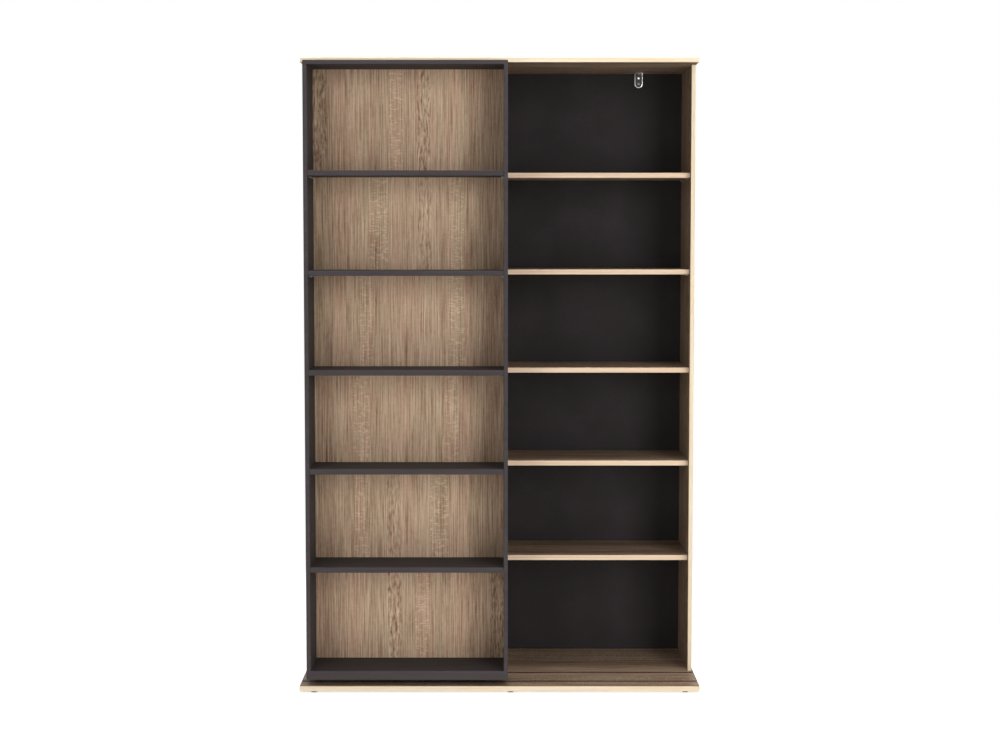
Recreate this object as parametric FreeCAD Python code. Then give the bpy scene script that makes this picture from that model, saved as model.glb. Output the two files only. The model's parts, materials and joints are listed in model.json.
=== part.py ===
import FreeCAD, Part

import math
import os
from FreeCAD import Vector

# Sliding double bookcase.
#
# A fixed carcass with two bays side by side stands on a base board that reaches out in front of it.
# A shallower unit, about half as wide, rolls along the base on four wheels, in two grooves, and two
# pins on its top run in a stopped groove under the carcass's top board, which also ends its travel.
#
# X runs along the slide, +Y towards the wall and +Z up. The origin lies on the floor, under the
# middle of the base. The sliding unit is drawn at the left end of its travel. All sizes are in mm.

# ---------------------------------------------------------------- boards
upright_thickness = 12.0
base_thickness = 15.0
top_thickness = 15.0
shelf_thickness = 15.0
panel_thickness = 3.0
panel_inset = 2.0            # the hardboard backs stop this far inside the carcass's outline
edge_ease = 1.0              # chamfer along the banded front edges

# ---------------------------------------------------------------- carcass
carcass_width = 1160.0
upright_height = 1816.0
upright_depth = 240.0
base_end_lip = 4.0           # the base passes each side of the carcass by this much
base_overhang = 157.0        # the base in front of the uprights
top_overhang = 74.0          # the top in front of the uprights
shelf_setback = 22.0         # carcass shelves behind the uprights' front edges

# ---------------------------------------------------------------- shelves, alike in both units
shelf_count = 5
lowest_bay_height = 333.0    # clear height between the base and the lowest shelf
shelf_pitch = 288.0
fixed_shelf = 2              # counted from 0 at the bottom: screwed in place with cams and dowels
fixed_shelf_drop = 7.0       # the carcass's fixed shelf lies this much below the even pitch
shelf_end_play = 0.5         # at each end of a shelf, and behind it

# ---------------------------------------------------------------- sliding unit
unit_width = 588.0
unit_depth = 145.0           # with its back panel
unit_end_inset = 16.0        # from the carcass's outer face, at each end of the travel
unit_back_gap = 3.0          # between the unit's back and the carcass's front edges
unit_top_gap = 1.5           # under the carcass's top board
unit_side_thickness = 12.0
unit_top_thickness = 12.0
unit_bottom_thickness = 15.0
rail_thickness = 15.0        # the front rail that hides the wheels
rail_height = 26.0

# ---------------------------------------------------------------- rolling gear
groove_width = 10.0
groove_depth = 5.0
wheel_radius = 12.0
wheel_width = 8.0
wheel_running_gap = 0.3      # between a tread and the floor of its groove
wheel_headroom = 6.2         # between a wheel and the plate of its housing
wheel_side_gap = 0.5         # between a wheel and each cheek
axle_radius = 2.0
axle_key_across = 3.0        # the six-sided ends that keep the axle from turning
axle_proud = 0.5             # each end stands this much proud of its cheek
axle_clearance = 0.05
housing_sheet = 1.5
housing_length = 44.0
cheek_width = 24.0           # at the plate
cheek_foot = 10.0            # its lower edge
cheek_floor_gap = 1.8        # between a cheek and the base board
housing_screw_inset = 5.0
front_axle_inset = 43.0      # behind the unit's front face
rear_axle_inset = 13.5       # in front of the unit's back
wheel_end_inset = 60.0       # from the unit's ends

# ---------------------------------------------------------------- top guide
guide_pin_radius = 4.0
guide_shank_across = 5.0
guide_pin_seat = 9.0         # how deep a pin's shank sits in the unit's top
guide_pin_lift = 5.0         # how far a pin reaches into the groove
guide_pin_inset = 40.0       # from the unit's ends
guide_pin_back_inset = 30.0  # in front of the unit's back
guide_side_gap = 0.5
guide_end_gap = 1.5          # between a pin's tip and the groove's ceiling

# ---------------------------------------------------------------- glides under the base
glide_height = 6.0
glide_radius = 10.5
glide_foot_radius = 5.0
glide_rim = 1.5
glide_nail_across = 2.6
glide_nail_length = 11.0
glide_end_inset = 41.0
glide_edge_inset = 21.0
middle_glide_offset = 32.0   # the middle pair stands right of the partition

# ---------------------------------------------------------------- wall brackets
bracket_inset = 147.0        # from the carcass's outer face to the bracket's middle
bracket_width = 25.0
bracket_drop = 44.0
bracket_reach = 32.0
bracket_sheet = 2.0
bracket_rim_width = 3.0
bracket_rim_height = 1.5     # the pressed rim stands this much proud of the sheet
wall_hole_radius = 3.25
wall_hole_drop = 14.0        # below the top board's underside
panel_screw_drop = 31.0

# ---------------------------------------------------------------- fasteners
peg_sides = 6                # small pins and screws are drawn six-sided, with a flat on top
disc_sides = 10              # cams and glides are drawn ten-sided
shelf_pin_across = 5.0
shelf_pin_seat = 8.0
shelf_pin_reach = 8.0
shelf_pin_inset = 37.0       # from a shelf's front and back edges
joint_inset = 50.0           # screws, cams and dowels from an upright's or shelf's edges
joint_screw_across = 5.0
joint_screw_length = 50.0
joint_head_across = 9.0
joint_head_length = 4.0
unit_screw_across = 3.5
unit_screw_length = 40.0
unit_head_across = 7.0
unit_head_length = 3.0
pan_screw_across = 3.0
pan_screw_length = 12.0
pan_head_across = 7.0
pan_head_length = 2.0
cam_radius = 7.5
cam_depth = 12.0
cam_setback = 24.0           # from a shelf's end to its cam's middle
cam_bolt_across = 6.0
cam_bolt_seat = 8.0
dowel_across = 6.0
dowel_seat = 8.0
dowel_reach = 22.0
rail_dowel_count = 3
rail_dowel_end_inset = 120.0
rail_dowel_seat = 10.0

# ---------------------------------------------------------------- levels and planes worked out from them
RIGHT = Vector(1, 0, 0)
BACKWARD = Vector(0, 1, 0)
FORWARD = Vector(0, -1, 0)
UP = Vector(0, 0, 1)
DOWN = Vector(0, 0, -1)

base_low = glide_height
base_top = base_low + base_thickness
top_low = base_top + upright_height
top_high = top_low + top_thickness

overall_depth = base_overhang + upright_depth + panel_thickness
base_front = -overall_depth / 2
carcass_front = base_front + base_overhang
top_front = carcass_front - top_overhang
panel_front = carcass_front + upright_depth
panel_back = panel_front + panel_thickness
shelf_front = carcass_front + shelf_setback
shelf_back = panel_front - shelf_end_play

side_face = carcass_width / 2
inner_face = side_face - upright_thickness
partition_face = upright_thickness / 2
base_end = side_face + base_end_lip

unit_left = -side_face + unit_end_inset
unit_right = unit_left + unit_width
unit_back = carcass_front - unit_back_gap
unit_front = unit_back - unit_depth
unit_panel_front = unit_back - panel_thickness
unit_inner_left = unit_left + unit_side_thickness
unit_inner_right = unit_right - unit_side_thickness
travel = carcass_width - 2 * unit_end_inset - unit_width

axle_height = base_top - groove_depth + wheel_running_gap + wheel_radius
housing_top = axle_height + wheel_radius + wheel_headroom + housing_sheet
unit_bottom_top = housing_top + unit_bottom_thickness
unit_top_high = top_low - unit_top_gap
unit_top_low = unit_top_high - unit_top_thickness
rail_low = unit_bottom_top - rail_height
front_axle_line = unit_front + front_axle_inset
rear_axle_line = unit_back - rear_axle_inset
guide_line = unit_back - guide_pin_back_inset


def unit_shelf_top(level):
    return base_top + lowest_bay_height + shelf_thickness + shelf_pitch * level


def carcass_shelf_top(level):
    drop = fixed_shelf_drop if level == fixed_shelf else 0
    return unit_shelf_top(level) - drop


# ---------------------------------------------------------------- making shapes
def eased_outline(front, back, side_a, side_b, place):
    """A board's cross-section: square at the back, with its two front corners eased."""
    ease = front + edge_ease
    corners = [place(back, side_a), place(ease, side_a), place(front, side_a + edge_ease),
               place(front, side_b - edge_ease), place(ease, side_b), place(back, side_b)]
    return Part.Face(Part.makePolygon(corners + corners[:1]))


def lying_board(left, right, front, back, low, high):
    """A shelf, base or top: its eased section drawn along X."""
    section = eased_outline(front, back, low, high, lambda y, z: Vector(left, y, z))
    return section.extrude(RIGHT * (right - left))


def standing_board(left, right, front, back, low, high):
    """An upright: its eased section drawn up Z."""
    section = eased_outline(front, back, left, right, lambda y, x: Vector(x, y, low))
    return section.extrude(UP * (high - low))


def block(left, right, front, back, low, high):
    return Part.makeBox(right - left, back - front, high - low, Vector(left, front, low))


def ring(centre, direction, across, sides):
    """A regular polygon square to direction, `across` wide over its flats, one of them up or back."""
    up = BACKWARD if abs(direction.z) > 0.5 else UP
    side = up.cross(direction)
    radius = across / 2 / math.cos(math.pi / sides)
    first = math.pi / 2 - math.pi / sides
    angles = [first + 2 * math.pi * k / sides for k in range(sides)]
    corners = [centre + side * (radius * math.cos(a)) + up * (radius * math.sin(a)) for a in angles]
    return Part.makePolygon(corners + corners[:1])


def peg(start, direction, length, across, sides=peg_sides):
    return Part.Face(ring(start, direction, across, sides)).extrude(direction * length)


def screw(start, direction, length, across, head_across, head_length):
    """A screw whose length counts its head; start is the middle of the head's outer face."""
    head = peg(start, direction, head_length, head_across)
    shank = peg(start + direction * head_length, direction, length - head_length, across)
    return head.fuse(shank).removeSplitter()


def pan_screw(surface, direction):
    """A pan-head screw driven into a surface along direction, its head standing proud."""
    start = surface - direction * pan_head_length
    length = pan_screw_length + pan_head_length
    return screw(start, direction, length, pan_screw_across, pan_head_across, pan_head_length)


def drilled(board, pieces):
    """The board with a seat cut for each piece that reaches into it."""
    near = [piece for piece in pieces if piece.BoundBox.intersect(board.BoundBox)]
    return board.cut(near) if near else board


def evenly(first, last, count):
    step = (last - first) / (count - 1)
    return [first + step * k for k in range(count)]


# ---------------------------------------------------------------- fasteners of the carcass
def carcass_shelf_pins():
    """Two pins in each side at every loose shelf, and two through the partition for both bays."""
    rows = (shelf_front + shelf_pin_inset, shelf_back - shelf_pin_inset)
    through = upright_thickness + 2 * shelf_pin_reach
    pins = []
    for level in range(shelf_count):
        if level == fixed_shelf:
            continue
        z = carcass_shelf_top(level) - shelf_thickness - shelf_pin_across / 2
        for y in rows:
            for side in (-1, 1):
                start = Vector(side * (inner_face + shelf_pin_seat), y, z)
                length = shelf_pin_seat + shelf_pin_reach
                pins.append(peg(start, RIGHT * -side, length, shelf_pin_across))
            start = Vector(-partition_face - shelf_pin_reach, y, z)
            pins.append(peg(start, RIGHT, through, shelf_pin_across))
    return pins


def shelf_ties(outer, inner, y, z, across, seat, reach):
    """Pegs along X that tie a fixed shelf to the uprights at each end of its two bays."""
    ties = []
    for side in (-1, 1):
        start = Vector(side * (outer + seat), y, z)
        ties.append(peg(start, RIGHT * -side, seat + reach, across))
    start = Vector(-inner - reach, y, z)
    ties.append(peg(start, RIGHT, 2 * (inner + reach), across))
    return ties


def cam(x, y, underside):
    return peg(Vector(x, y, underside), UP, cam_depth, 2 * cam_radius, disc_sides)


def upright_screws():
    """Two screws through the top and two through the base into each of the three uprights."""
    screws = []
    for x in (-side_face + partition_face, 0, side_face - partition_face):
        for y in (carcass_front + joint_inset, panel_front - joint_inset):
            for start, direction in ((Vector(x, y, top_high), DOWN), (Vector(x, y, base_low), UP)):
                screws.append(screw(start, direction, joint_screw_length, joint_screw_across,
                                    joint_head_across, joint_head_length))
    return screws


# ---------------------------------------------------------------- fittings
def glide(x, y):
    """A nail-on glide: a black cap with a sloping skirt and a flat foot."""
    foot = ring(Vector(x, y, 0), UP, 2 * glide_foot_radius, disc_sides)
    shoulder = Vector(x, y, glide_height - glide_rim)
    skirt = Part.makeLoft([foot, ring(shoulder, UP, 2 * glide_radius, disc_sides)], True, True)
    rim = peg(shoulder, UP, glide_rim, 2 * glide_radius, disc_sides)
    nail = peg(Vector(x, y, glide_height), UP, glide_nail_length, glide_nail_across)
    return skirt.fuse([rim, nail]).removeSplitter()


def leg_outline(x, y, inset):
    """The U of a bracket's hanging leg, `inset` inside its edge, in the plane at y."""
    half = bracket_width / 2 - inset
    middle = top_low - bracket_drop + bracket_width / 2
    left, right = Vector(x - half, y, middle), Vector(x + half, y, middle)
    top_left, top_right = Vector(x - half, y, top_low), Vector(x + half, y, top_low)
    curves = [
        Part.LineSegment(top_left, left),
        Part.Arc(left, Vector(x, y, middle - half), right),
        Part.LineSegment(right, top_right),
        Part.LineSegment(top_right, top_left),
    ]
    return Part.Face(Part.Wire([curve.toShape() for curve in curves]))


def wall_bracket(x):
    """A steel angle under the top board; its hanging leg is pressed with a rim and takes a wall screw."""
    leg = leg_outline(x, panel_front, 0).extrude(FORWARD * bracket_sheet)
    face = panel_front - bracket_sheet
    rim = leg_outline(x, face, 0).extrude(FORWARD * bracket_rim_height)
    tray = leg_outline(x, face, bracket_rim_width).extrude(FORWARD * bracket_rim_height)
    foot = block(x - bracket_width / 2, x + bracket_width / 2, panel_front - bracket_reach,
                 panel_front, top_low - bracket_sheet, top_low)
    return leg.fuse([rim.cut(tray), foot]).removeSplitter()


def bracket_screws(x):
    """Two screws up into the top board, and a short one that pins the leg to the back panel."""
    half_reach = (bracket_reach - bracket_sheet) / 2
    middle = panel_front - bracket_sheet - half_reach
    under = top_low - bracket_sheet
    screws = [pan_screw(Vector(x, middle + k * half_reach / 2, under), UP) for k in (-1, 1)]
    start = Vector(x, panel_front - bracket_sheet - pan_head_length, top_low - panel_screw_drop)
    length = pan_head_length + bracket_sheet + panel_thickness
    screws.append(screw(start, BACKWARD, length, pan_screw_across, pan_head_across, pan_head_length))
    return screws


def wall_hole(x):
    start = Vector(x, panel_front - bracket_reach, top_low - wall_hole_drop)
    return Part.makeCylinder(wall_hole_radius, bracket_reach + panel_thickness, start, BACKWARD)


# ---------------------------------------------------------------- rolling gear
def wheel(x, y):
    """A nylon wheel, bored to turn on its axle."""
    start = Vector(x, y - wheel_width / 2, axle_height)
    tread = Part.makeCylinder(wheel_radius, wheel_width, start, BACKWARD)
    bore = Part.makeCylinder(axle_radius + axle_clearance, wheel_width, start, BACKWARD)
    return tread.cut(bore)


def axle(x, y):
    """A fixed axle: round between the cheeks, with six-sided ends keyed into them."""
    journal = wheel_width / 2 + wheel_side_gap
    end = journal + housing_sheet + axle_proud
    key = peg(Vector(x, y - end, axle_height), BACKWARD, 2 * end, axle_key_across)
    start = Vector(x, y - journal, axle_height)
    return key.fuse(Part.makeCylinder(axle_radius, 2 * journal, start, BACKWARD)).removeSplitter()


def cheek(x, y):
    """A housing cheek: it tapers from the plate to a narrow foot below the axle."""
    foot = base_top + cheek_floor_gap
    spots = [(-cheek_width / 2, housing_top), (-cheek_foot / 2, foot),
             (cheek_foot / 2, foot), (cheek_width / 2, housing_top)]
    corners = [Vector(x + across, y, height) for across, height in spots]
    return Part.Face(Part.makePolygon(corners + corners[:1])).extrude(BACKWARD * housing_sheet)


def wheel_housing(x, y):
    """A bent steel channel that carries one wheel between its cheeks, screwed up to the unit."""
    half = wheel_width / 2 + wheel_side_gap
    plate = block(x - housing_length / 2, x + housing_length / 2, y - half - housing_sheet,
                  y + half + housing_sheet, housing_top - housing_sheet, housing_top)
    cheeks = [cheek(x, y - half - housing_sheet), cheek(x, y + half)]
    return plate.fuse(cheeks).removeSplitter()


def housing_screws(x, y):
    reach = housing_length / 2 - housing_screw_inset
    under = housing_top - housing_sheet
    return [pan_screw(Vector(x + k * reach, y, under), UP) for k in (-1, 1)]


def guide_pin(x):
    """A shouldered nylon pin: its head rests on the unit's top and runs in the groove."""
    shank = peg(Vector(x, guide_line, unit_top_high - guide_pin_seat), UP, guide_pin_seat,
                guide_shank_across)
    seat = Vector(x, guide_line, unit_top_high)
    head = Part.makeCylinder(guide_pin_radius, unit_top_gap + guide_pin_lift, seat, UP)
    return shank.fuse(head).removeSplitter()


def guide_groove():
    """The stopped groove under the top board; its round ends stop the pins at the ends of the travel."""
    radius = guide_pin_radius + guide_side_gap
    height = guide_pin_lift + guide_end_gap
    first, last = unit_left + guide_pin_inset, unit_right - guide_pin_inset + travel
    run = block(first, last, guide_line - radius, guide_line + radius, top_low, top_low + height)
    ends = [Part.makeCylinder(radius, height, Vector(x, guide_line, top_low), UP)
            for x in (first, last)]
    return run.fuse(ends).removeSplitter()


# ---------------------------------------------------------------- the carcass, put together
def write(node, pieces):
    shape = Part.makeCompound(pieces) if len(pieces) > 1 else pieces[0]
    shape.exportStep(f"parts/{node}.step")


def carcass():
    """Every node of the fixed carcass, by name."""
    nodes = {}
    pins = carcass_shelf_pins()
    fixed_low = carcass_shelf_top(fixed_shelf) - shelf_thickness
    tie_height = fixed_low + shelf_thickness / 2
    bolts = shelf_ties(inner_face, partition_face, shelf_front + joint_inset, tie_height,
                       cam_bolt_across, cam_bolt_seat, cam_setback)
    dowels = shelf_ties(inner_face, partition_face, shelf_back - joint_inset, tie_height,
                        dowel_across, dowel_seat, dowel_reach)
    cam_places = [side * x for side in (-1, 1)
                  for x in (inner_face - cam_setback, partition_face + cam_setback)]
    cams = [cam(x, shelf_front + joint_inset, fixed_low) for x in cam_places]
    screws = upright_screws()

    bracket_places = (-side_face + bracket_inset, side_face - bracket_inset)
    small_screws = [piece for x in bracket_places for piece in bracket_screws(x)]
    holes = [wall_hole(x) for x in bracket_places]
    glides = [glide(x, y)
              for x in (-base_end + glide_end_inset, middle_glide_offset, base_end - glide_end_inset)
              for y in (base_front + glide_edge_inset, panel_front - glide_edge_inset)]

    base = lying_board(-base_end, base_end, base_front, panel_front, base_low, base_top)
    grooves = [block(-base_end, base_end, y - groove_width / 2, y + groove_width / 2,
                     base_top - groove_depth, base_top) for y in (front_axle_line, rear_axle_line)]
    nodes["base_board"] = [drilled(base.cut(grooves), screws + glides)]
    top = lying_board(-side_face, side_face, top_front, panel_front, top_low, top_high)
    nodes["carcass_top"] = [drilled(top.cut(guide_groove()), screws + small_screws)]

    uprights = {"carcass_side_left": (-side_face, -inner_face),
                "carcass_partition": (-partition_face, partition_face),
                "carcass_side_right": (inner_face, side_face)}
    for name, (left, right) in uprights.items():
        board = standing_board(left, right, carcass_front, panel_front, base_top, top_low)
        nodes[name] = [drilled(board, pins + bolts + dowels + screws)]

    bays = {"left": (-inner_face, -partition_face), "right": (partition_face, inner_face)}
    for name, (left, right) in bays.items():
        for level in range(shelf_count):
            high = carcass_shelf_top(level)
            play = 0 if level == fixed_shelf else shelf_end_play
            board = lying_board(left + play, right - play, shelf_front, shelf_back,
                                high - shelf_thickness, high)
            ties = cams + bolts + dowels if level == fixed_shelf else []
            nodes[f"carcass_shelf_{name}_{level + 1}"] = [drilled(board, ties)]

    backs = {"left": (-side_face + panel_inset, 0), "right": (0, side_face - panel_inset)}
    for name, (left, right) in backs.items():
        panel = block(left, right, panel_front, panel_back, base_low + panel_inset,
                      top_high - panel_inset)
        nodes[f"carcass_back_{name}"] = [drilled(panel, small_screws + holes)]

    nodes["carcass_shelf_pins"] = pins
    nodes["carcass_cams"] = [drilled(piece, bolts) for piece in cams]
    nodes["carcass_cam_bolts"] = bolts
    nodes["carcass_dowels"] = dowels
    nodes["carcass_screws"] = screws
    nodes["wall_brackets"] = [drilled(wall_bracket(x), small_screws + holes)
                              for x in bracket_places]
    nodes["bracket_screws"] = small_screws
    nodes["base_glides"] = glides
    return nodes


# ---------------------------------------------------------------- the sliding unit, put together
def sliding_unit():
    """Every node of the sliding unit, by name."""
    nodes = {}
    shelf_rear = unit_panel_front - shelf_end_play
    sides = ((unit_inner_left, -1), (unit_inner_right, 1))
    fixed_low = unit_shelf_top(fixed_shelf) - shelf_thickness
    tie_height = fixed_low + shelf_thickness / 2
    bolt_line, dowel_line = unit_front + joint_inset, shelf_rear - joint_inset

    pins = [peg(Vector(x + side * shelf_pin_seat, y, unit_shelf_top(level) - shelf_thickness
                       - shelf_pin_across / 2),
                RIGHT * -side, shelf_pin_seat + shelf_pin_reach, shelf_pin_across)
            for level in range(shelf_count) if level != fixed_shelf
            for y in (unit_front + shelf_pin_inset, shelf_rear - shelf_pin_inset)
            for x, side in sides]
    bolts = [peg(Vector(x + side * cam_bolt_seat, bolt_line, tie_height), RIGHT * -side,
                 cam_bolt_seat + cam_setback, cam_bolt_across) for x, side in sides]
    cams = [cam(x - side * cam_setback, bolt_line, fixed_low) for x, side in sides]
    dowels = [peg(Vector(x + side * dowel_seat, dowel_line, tie_height), RIGHT * -side,
                  dowel_seat + dowel_reach, dowel_across) for x, side in sides]
    rail_back = unit_front + rail_thickness
    rail_dowels = [peg(Vector(x, rail_back - rail_dowel_seat, unit_bottom_top
                              - unit_bottom_thickness / 2),
                       BACKWARD, rail_dowel_seat + dowel_reach, dowel_across)
                   for x in evenly(unit_left + rail_dowel_end_inset,
                                   unit_right - rail_dowel_end_inset, rail_dowel_count)]

    half_side = unit_side_thickness / 2
    screws = [screw(start, direction, unit_screw_length, unit_screw_across,
                    unit_head_across, unit_head_length)
              for x in (unit_left + half_side, unit_right - half_side)
              for y in (bolt_line, dowel_line)
              for start, direction in ((Vector(x, y, unit_top_high), DOWN),
                                       (Vector(x, y, housing_top), UP))]
    guides = [guide_pin(x) for x in (unit_left + guide_pin_inset, unit_right - guide_pin_inset)]

    wheel_places = {"front_left": (unit_left + wheel_end_inset, front_axle_line),
                    "front_right": (unit_right - wheel_end_inset, front_axle_line),
                    "rear_left": (unit_left + wheel_end_inset, rear_axle_line),
                    "rear_right": (unit_right - wheel_end_inset, rear_axle_line)}
    axles = [axle(x, y) for x, y in wheel_places.values()]
    plate_screws = [piece for x, y in wheel_places.values() for piece in housing_screws(x, y)]
    nodes["wheel_housings"] = [drilled(wheel_housing(x, y), axles + plate_screws)
                               for x, y in wheel_places.values()]
    for name, (x, y) in wheel_places.items():
        nodes[f"wheel_{name}"] = [wheel(x, y)]

    bottom = block(unit_left, unit_right, rail_back, unit_panel_front, housing_top, unit_bottom_top)
    nodes["unit_bottom"] = [drilled(bottom, screws + rail_dowels + plate_screws)]
    rail = lying_board(unit_left, unit_right, unit_front, rail_back, rail_low, unit_bottom_top)
    nodes["unit_front_rail"] = [drilled(rail, rail_dowels)]
    top = lying_board(unit_left, unit_right, unit_front, unit_panel_front,
                      unit_top_low, unit_top_high)
    nodes["unit_top"] = [drilled(top, screws + guides)]
    outer = {"left": (unit_left, unit_inner_left), "right": (unit_inner_right, unit_right)}
    for name, (left, right) in outer.items():
        board = standing_board(left, right, unit_front, unit_panel_front,
                               unit_bottom_top, unit_top_low)
        nodes[f"unit_side_{name}"] = [drilled(board, pins + bolts + dowels + screws)]
    for level in range(shelf_count):
        high = unit_shelf_top(level)
        play = 0 if level == fixed_shelf else shelf_end_play
        board = lying_board(unit_inner_left + play, unit_inner_right - play, unit_front,
                            shelf_rear, high - shelf_thickness, high)
        ties = cams + bolts + dowels if level == fixed_shelf else []
        nodes[f"unit_shelf_{level + 1}"] = [drilled(board, ties)]
    panel = block(unit_left + panel_inset, unit_right - panel_inset, unit_panel_front, unit_back,
                  housing_top + panel_inset, unit_top_high - panel_inset)
    nodes["unit_back"] = [panel]

    nodes["unit_shelf_pins"] = pins
    nodes["unit_cams"] = [drilled(piece, bolts) for piece in cams]
    nodes["unit_cam_bolts"] = bolts
    nodes["unit_dowels"] = dowels + rail_dowels
    nodes["unit_screws"] = screws
    nodes["wheel_axles"] = axles
    nodes["housing_screws"] = plate_screws
    nodes["guide_pins"] = guides
    return nodes


os.makedirs("parts", exist_ok=True)
for node, pieces in {**carcass(), **sliding_unit()}.items():
    write(node, pieces)
print(f"travel {travel:.1f} mm, axle height {axle_height:.2f} mm, top at {top_high:.1f} mm")
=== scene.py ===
# %% [markdown]
# # A sliding double bookcase
#
# The bookcase is built from melamine-faced chipboard. A fixed carcass in a light oak decor stands on a
# wide base board, and a shallower unit in anthracite rolls along that base in front of it. The boards,
# backs and fittings come from the construction model, which is loaded first and never altered. This
# lesson gives every board its finish, and turns or presses the small fittings that deserve more detail
# than a plain solid has: wheels, glides, pins, cams, screws, brads and wall brackets.

# %% Load the construction model
import bmesh
import bpy
import json
import math
from mathutils import Matrix, Vector


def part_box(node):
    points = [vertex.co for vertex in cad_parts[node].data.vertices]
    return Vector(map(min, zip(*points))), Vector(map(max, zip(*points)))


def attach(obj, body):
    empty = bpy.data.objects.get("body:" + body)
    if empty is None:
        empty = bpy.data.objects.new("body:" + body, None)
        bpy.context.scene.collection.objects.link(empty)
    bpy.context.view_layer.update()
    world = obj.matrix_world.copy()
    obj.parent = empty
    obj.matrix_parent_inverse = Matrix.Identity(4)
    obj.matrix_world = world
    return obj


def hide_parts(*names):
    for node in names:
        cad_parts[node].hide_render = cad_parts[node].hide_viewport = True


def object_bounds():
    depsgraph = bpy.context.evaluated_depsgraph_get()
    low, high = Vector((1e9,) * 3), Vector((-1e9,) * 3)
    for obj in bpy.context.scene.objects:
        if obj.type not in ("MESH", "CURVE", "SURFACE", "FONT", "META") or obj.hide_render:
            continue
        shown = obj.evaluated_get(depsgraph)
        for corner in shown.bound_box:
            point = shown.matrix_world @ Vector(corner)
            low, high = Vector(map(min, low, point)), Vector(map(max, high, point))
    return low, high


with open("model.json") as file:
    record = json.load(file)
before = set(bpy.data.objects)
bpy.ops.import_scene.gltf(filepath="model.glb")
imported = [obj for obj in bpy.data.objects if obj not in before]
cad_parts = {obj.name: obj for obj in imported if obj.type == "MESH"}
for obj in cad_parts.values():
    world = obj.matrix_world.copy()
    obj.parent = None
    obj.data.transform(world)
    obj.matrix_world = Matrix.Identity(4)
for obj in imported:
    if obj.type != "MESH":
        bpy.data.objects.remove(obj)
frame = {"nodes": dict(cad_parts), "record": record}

cad_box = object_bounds()
nodes = frame["nodes"]
print(len(nodes), "construction nodes, from", cad_box[0], "to", cad_box[1])

# %% [markdown]
# ## The camera
#
# A catalogue view of tall furniture keeps its uprights nearly parallel. The camera stands straight in
# front at standing height, looks down by only about three degrees, and the lens is shifted to frame the
# whole piece. A stronger tilt would make the sides lean together.

# %% The camera
eye = bpy.data.cameras.new("camera")
eye.sensor_width = 36.0
eye.lens = 53.435
eye.shift_x = 0.0004
eye.shift_y = -0.0562
camera = bpy.data.objects.new("camera", eye)
camera.location = (0.0, -4.4629, 1.3333)
tilt = math.atan(0.0559)
camera.rotation_euler = (math.pi / 2 - tilt, 0.0, 0.0)
bpy.context.scene.collection.objects.link(camera)
bpy.context.scene.camera = camera
print(f"lens {eye.lens:.1f} mm, shift {eye.shift_y}, tilt {math.degrees(tilt):.1f} degrees")

# %% [markdown]
# ## Colours and nodes
#
# Colours are written as sRGB hex values, as a screen shows them, while the renderer counts in
# linear light. One function turns one into the other. The others each add a shader node, or a few, with
# their settings and links, so that each finish below reads from top to bottom like a recipe.

# %% Colour and node helpers
def shade(code):
    """An sRGB hex value as linear red, green, blue and alpha."""
    values = [int(code[k:k + 2], 16) / 255 for k in (1, 3, 5)]
    return [v / 12.92 if v <= 0.04045 else ((v + 0.055) / 1.055) ** 2.4 for v in values] + [1.0]


def set_inputs(tree, node, sockets):
    """Gives each of a node's sockets another node's output, or a constant."""
    for name, value in sockets.items():
        if isinstance(value, bpy.types.NodeSocket):
            tree.links.new(value, node.inputs[name])
        else:
            node.inputs[name].default_value = value


def add(tree, kind, sockets=None, **settings):
    """Adds one node and gives back its outputs."""
    node = tree.nodes.new(kind)
    for name, value in settings.items():
        setattr(node, name, value)
    set_inputs(tree, node, sockets or {})
    return node.outputs


def calc(tree, operation, *values):
    """The result of one sum or comparison of outputs and numbers."""
    return add(tree, "ShaderNodeMath", dict(enumerate(values)), operation=operation)[0]


def spread(tree, value, onto=(0.0, 1.0), span=(0.0, 1.0)):
    """Carries a value from a span onto another one, and holds it at the ends."""
    return add(tree, "ShaderNodeMapRange",
               {0: value, 1: span[0], 2: span[1], 3: onto[0], 4: onto[1]})[0]


def noise(tree, place, scale, detail, slant=0.0):
    """Noise with the same scale all ways, or with three scales, which draws it out. slant turns it."""
    if isinstance(scale, tuple):
        place = add(tree, "ShaderNodeMapping",
                    {"Vector": place, "Rotation": (0.0, slant, 0.0), "Scale": scale})[0]
        scale = 1.0
    return add(tree, "ShaderNodeTexNoise", {"Vector": place, "Scale": scale, "Detail": detail})["Fac"]


def ramp(tree, value, stops, steps=False):
    """Looks a value up in a row of (position, colour) stops. A colour is a hex value, or three plain
    numbers where the row carries no colour. With steps, each colour holds until the next stop."""
    found = add(tree, "ShaderNodeValToRGB", {0: value})[0]
    row = found.node.color_ramp
    while len(row.elements) > 1:
        row.elements.remove(row.elements[-1])
    for k, (position, colour) in enumerate(stops):
        element = row.elements[0] if k == 0 else row.elements.new(position)
        element.position = position
        element.color = shade(colour) if isinstance(colour, str) else (*colour, 1.0)
    row.interpolation = "CONSTANT" if steps else "LINEAR"
    return found


def blend(tree, share, first, second, how="MIX"):
    """A colour between two, by a share from 0 to 1."""
    return add(tree, "ShaderNodeMix", {0: share, 6: first, 7: second}, data_type="RGBA",
               blend_type=how)[2]


def bump(tree, height, strength=0.2, distance=0.0003):
    """Relief too fine to be modelled. distance is in metres."""
    return add(tree, "ShaderNodeBump",
               {"Strength": strength, "Distance": distance, "Height": height})[0]


def here(tree):
    """Where a point lies, in metres along the object's own axes."""
    return add(tree, "ShaderNodeTexCoord")["Object"]


def facing(tree):
    """Which way a face looks, as its parts along the three axes."""
    return add(tree, "ShaderNodeSeparateXYZ", {0: add(tree, "ShaderNodeTexCoord")["Normal"]})


def looks_forward(tree):
    """1 on faces that look to the front, and 0 elsewhere."""
    return calc(tree, "LESS_THAN", facing(tree)[1], -0.5)


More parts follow.
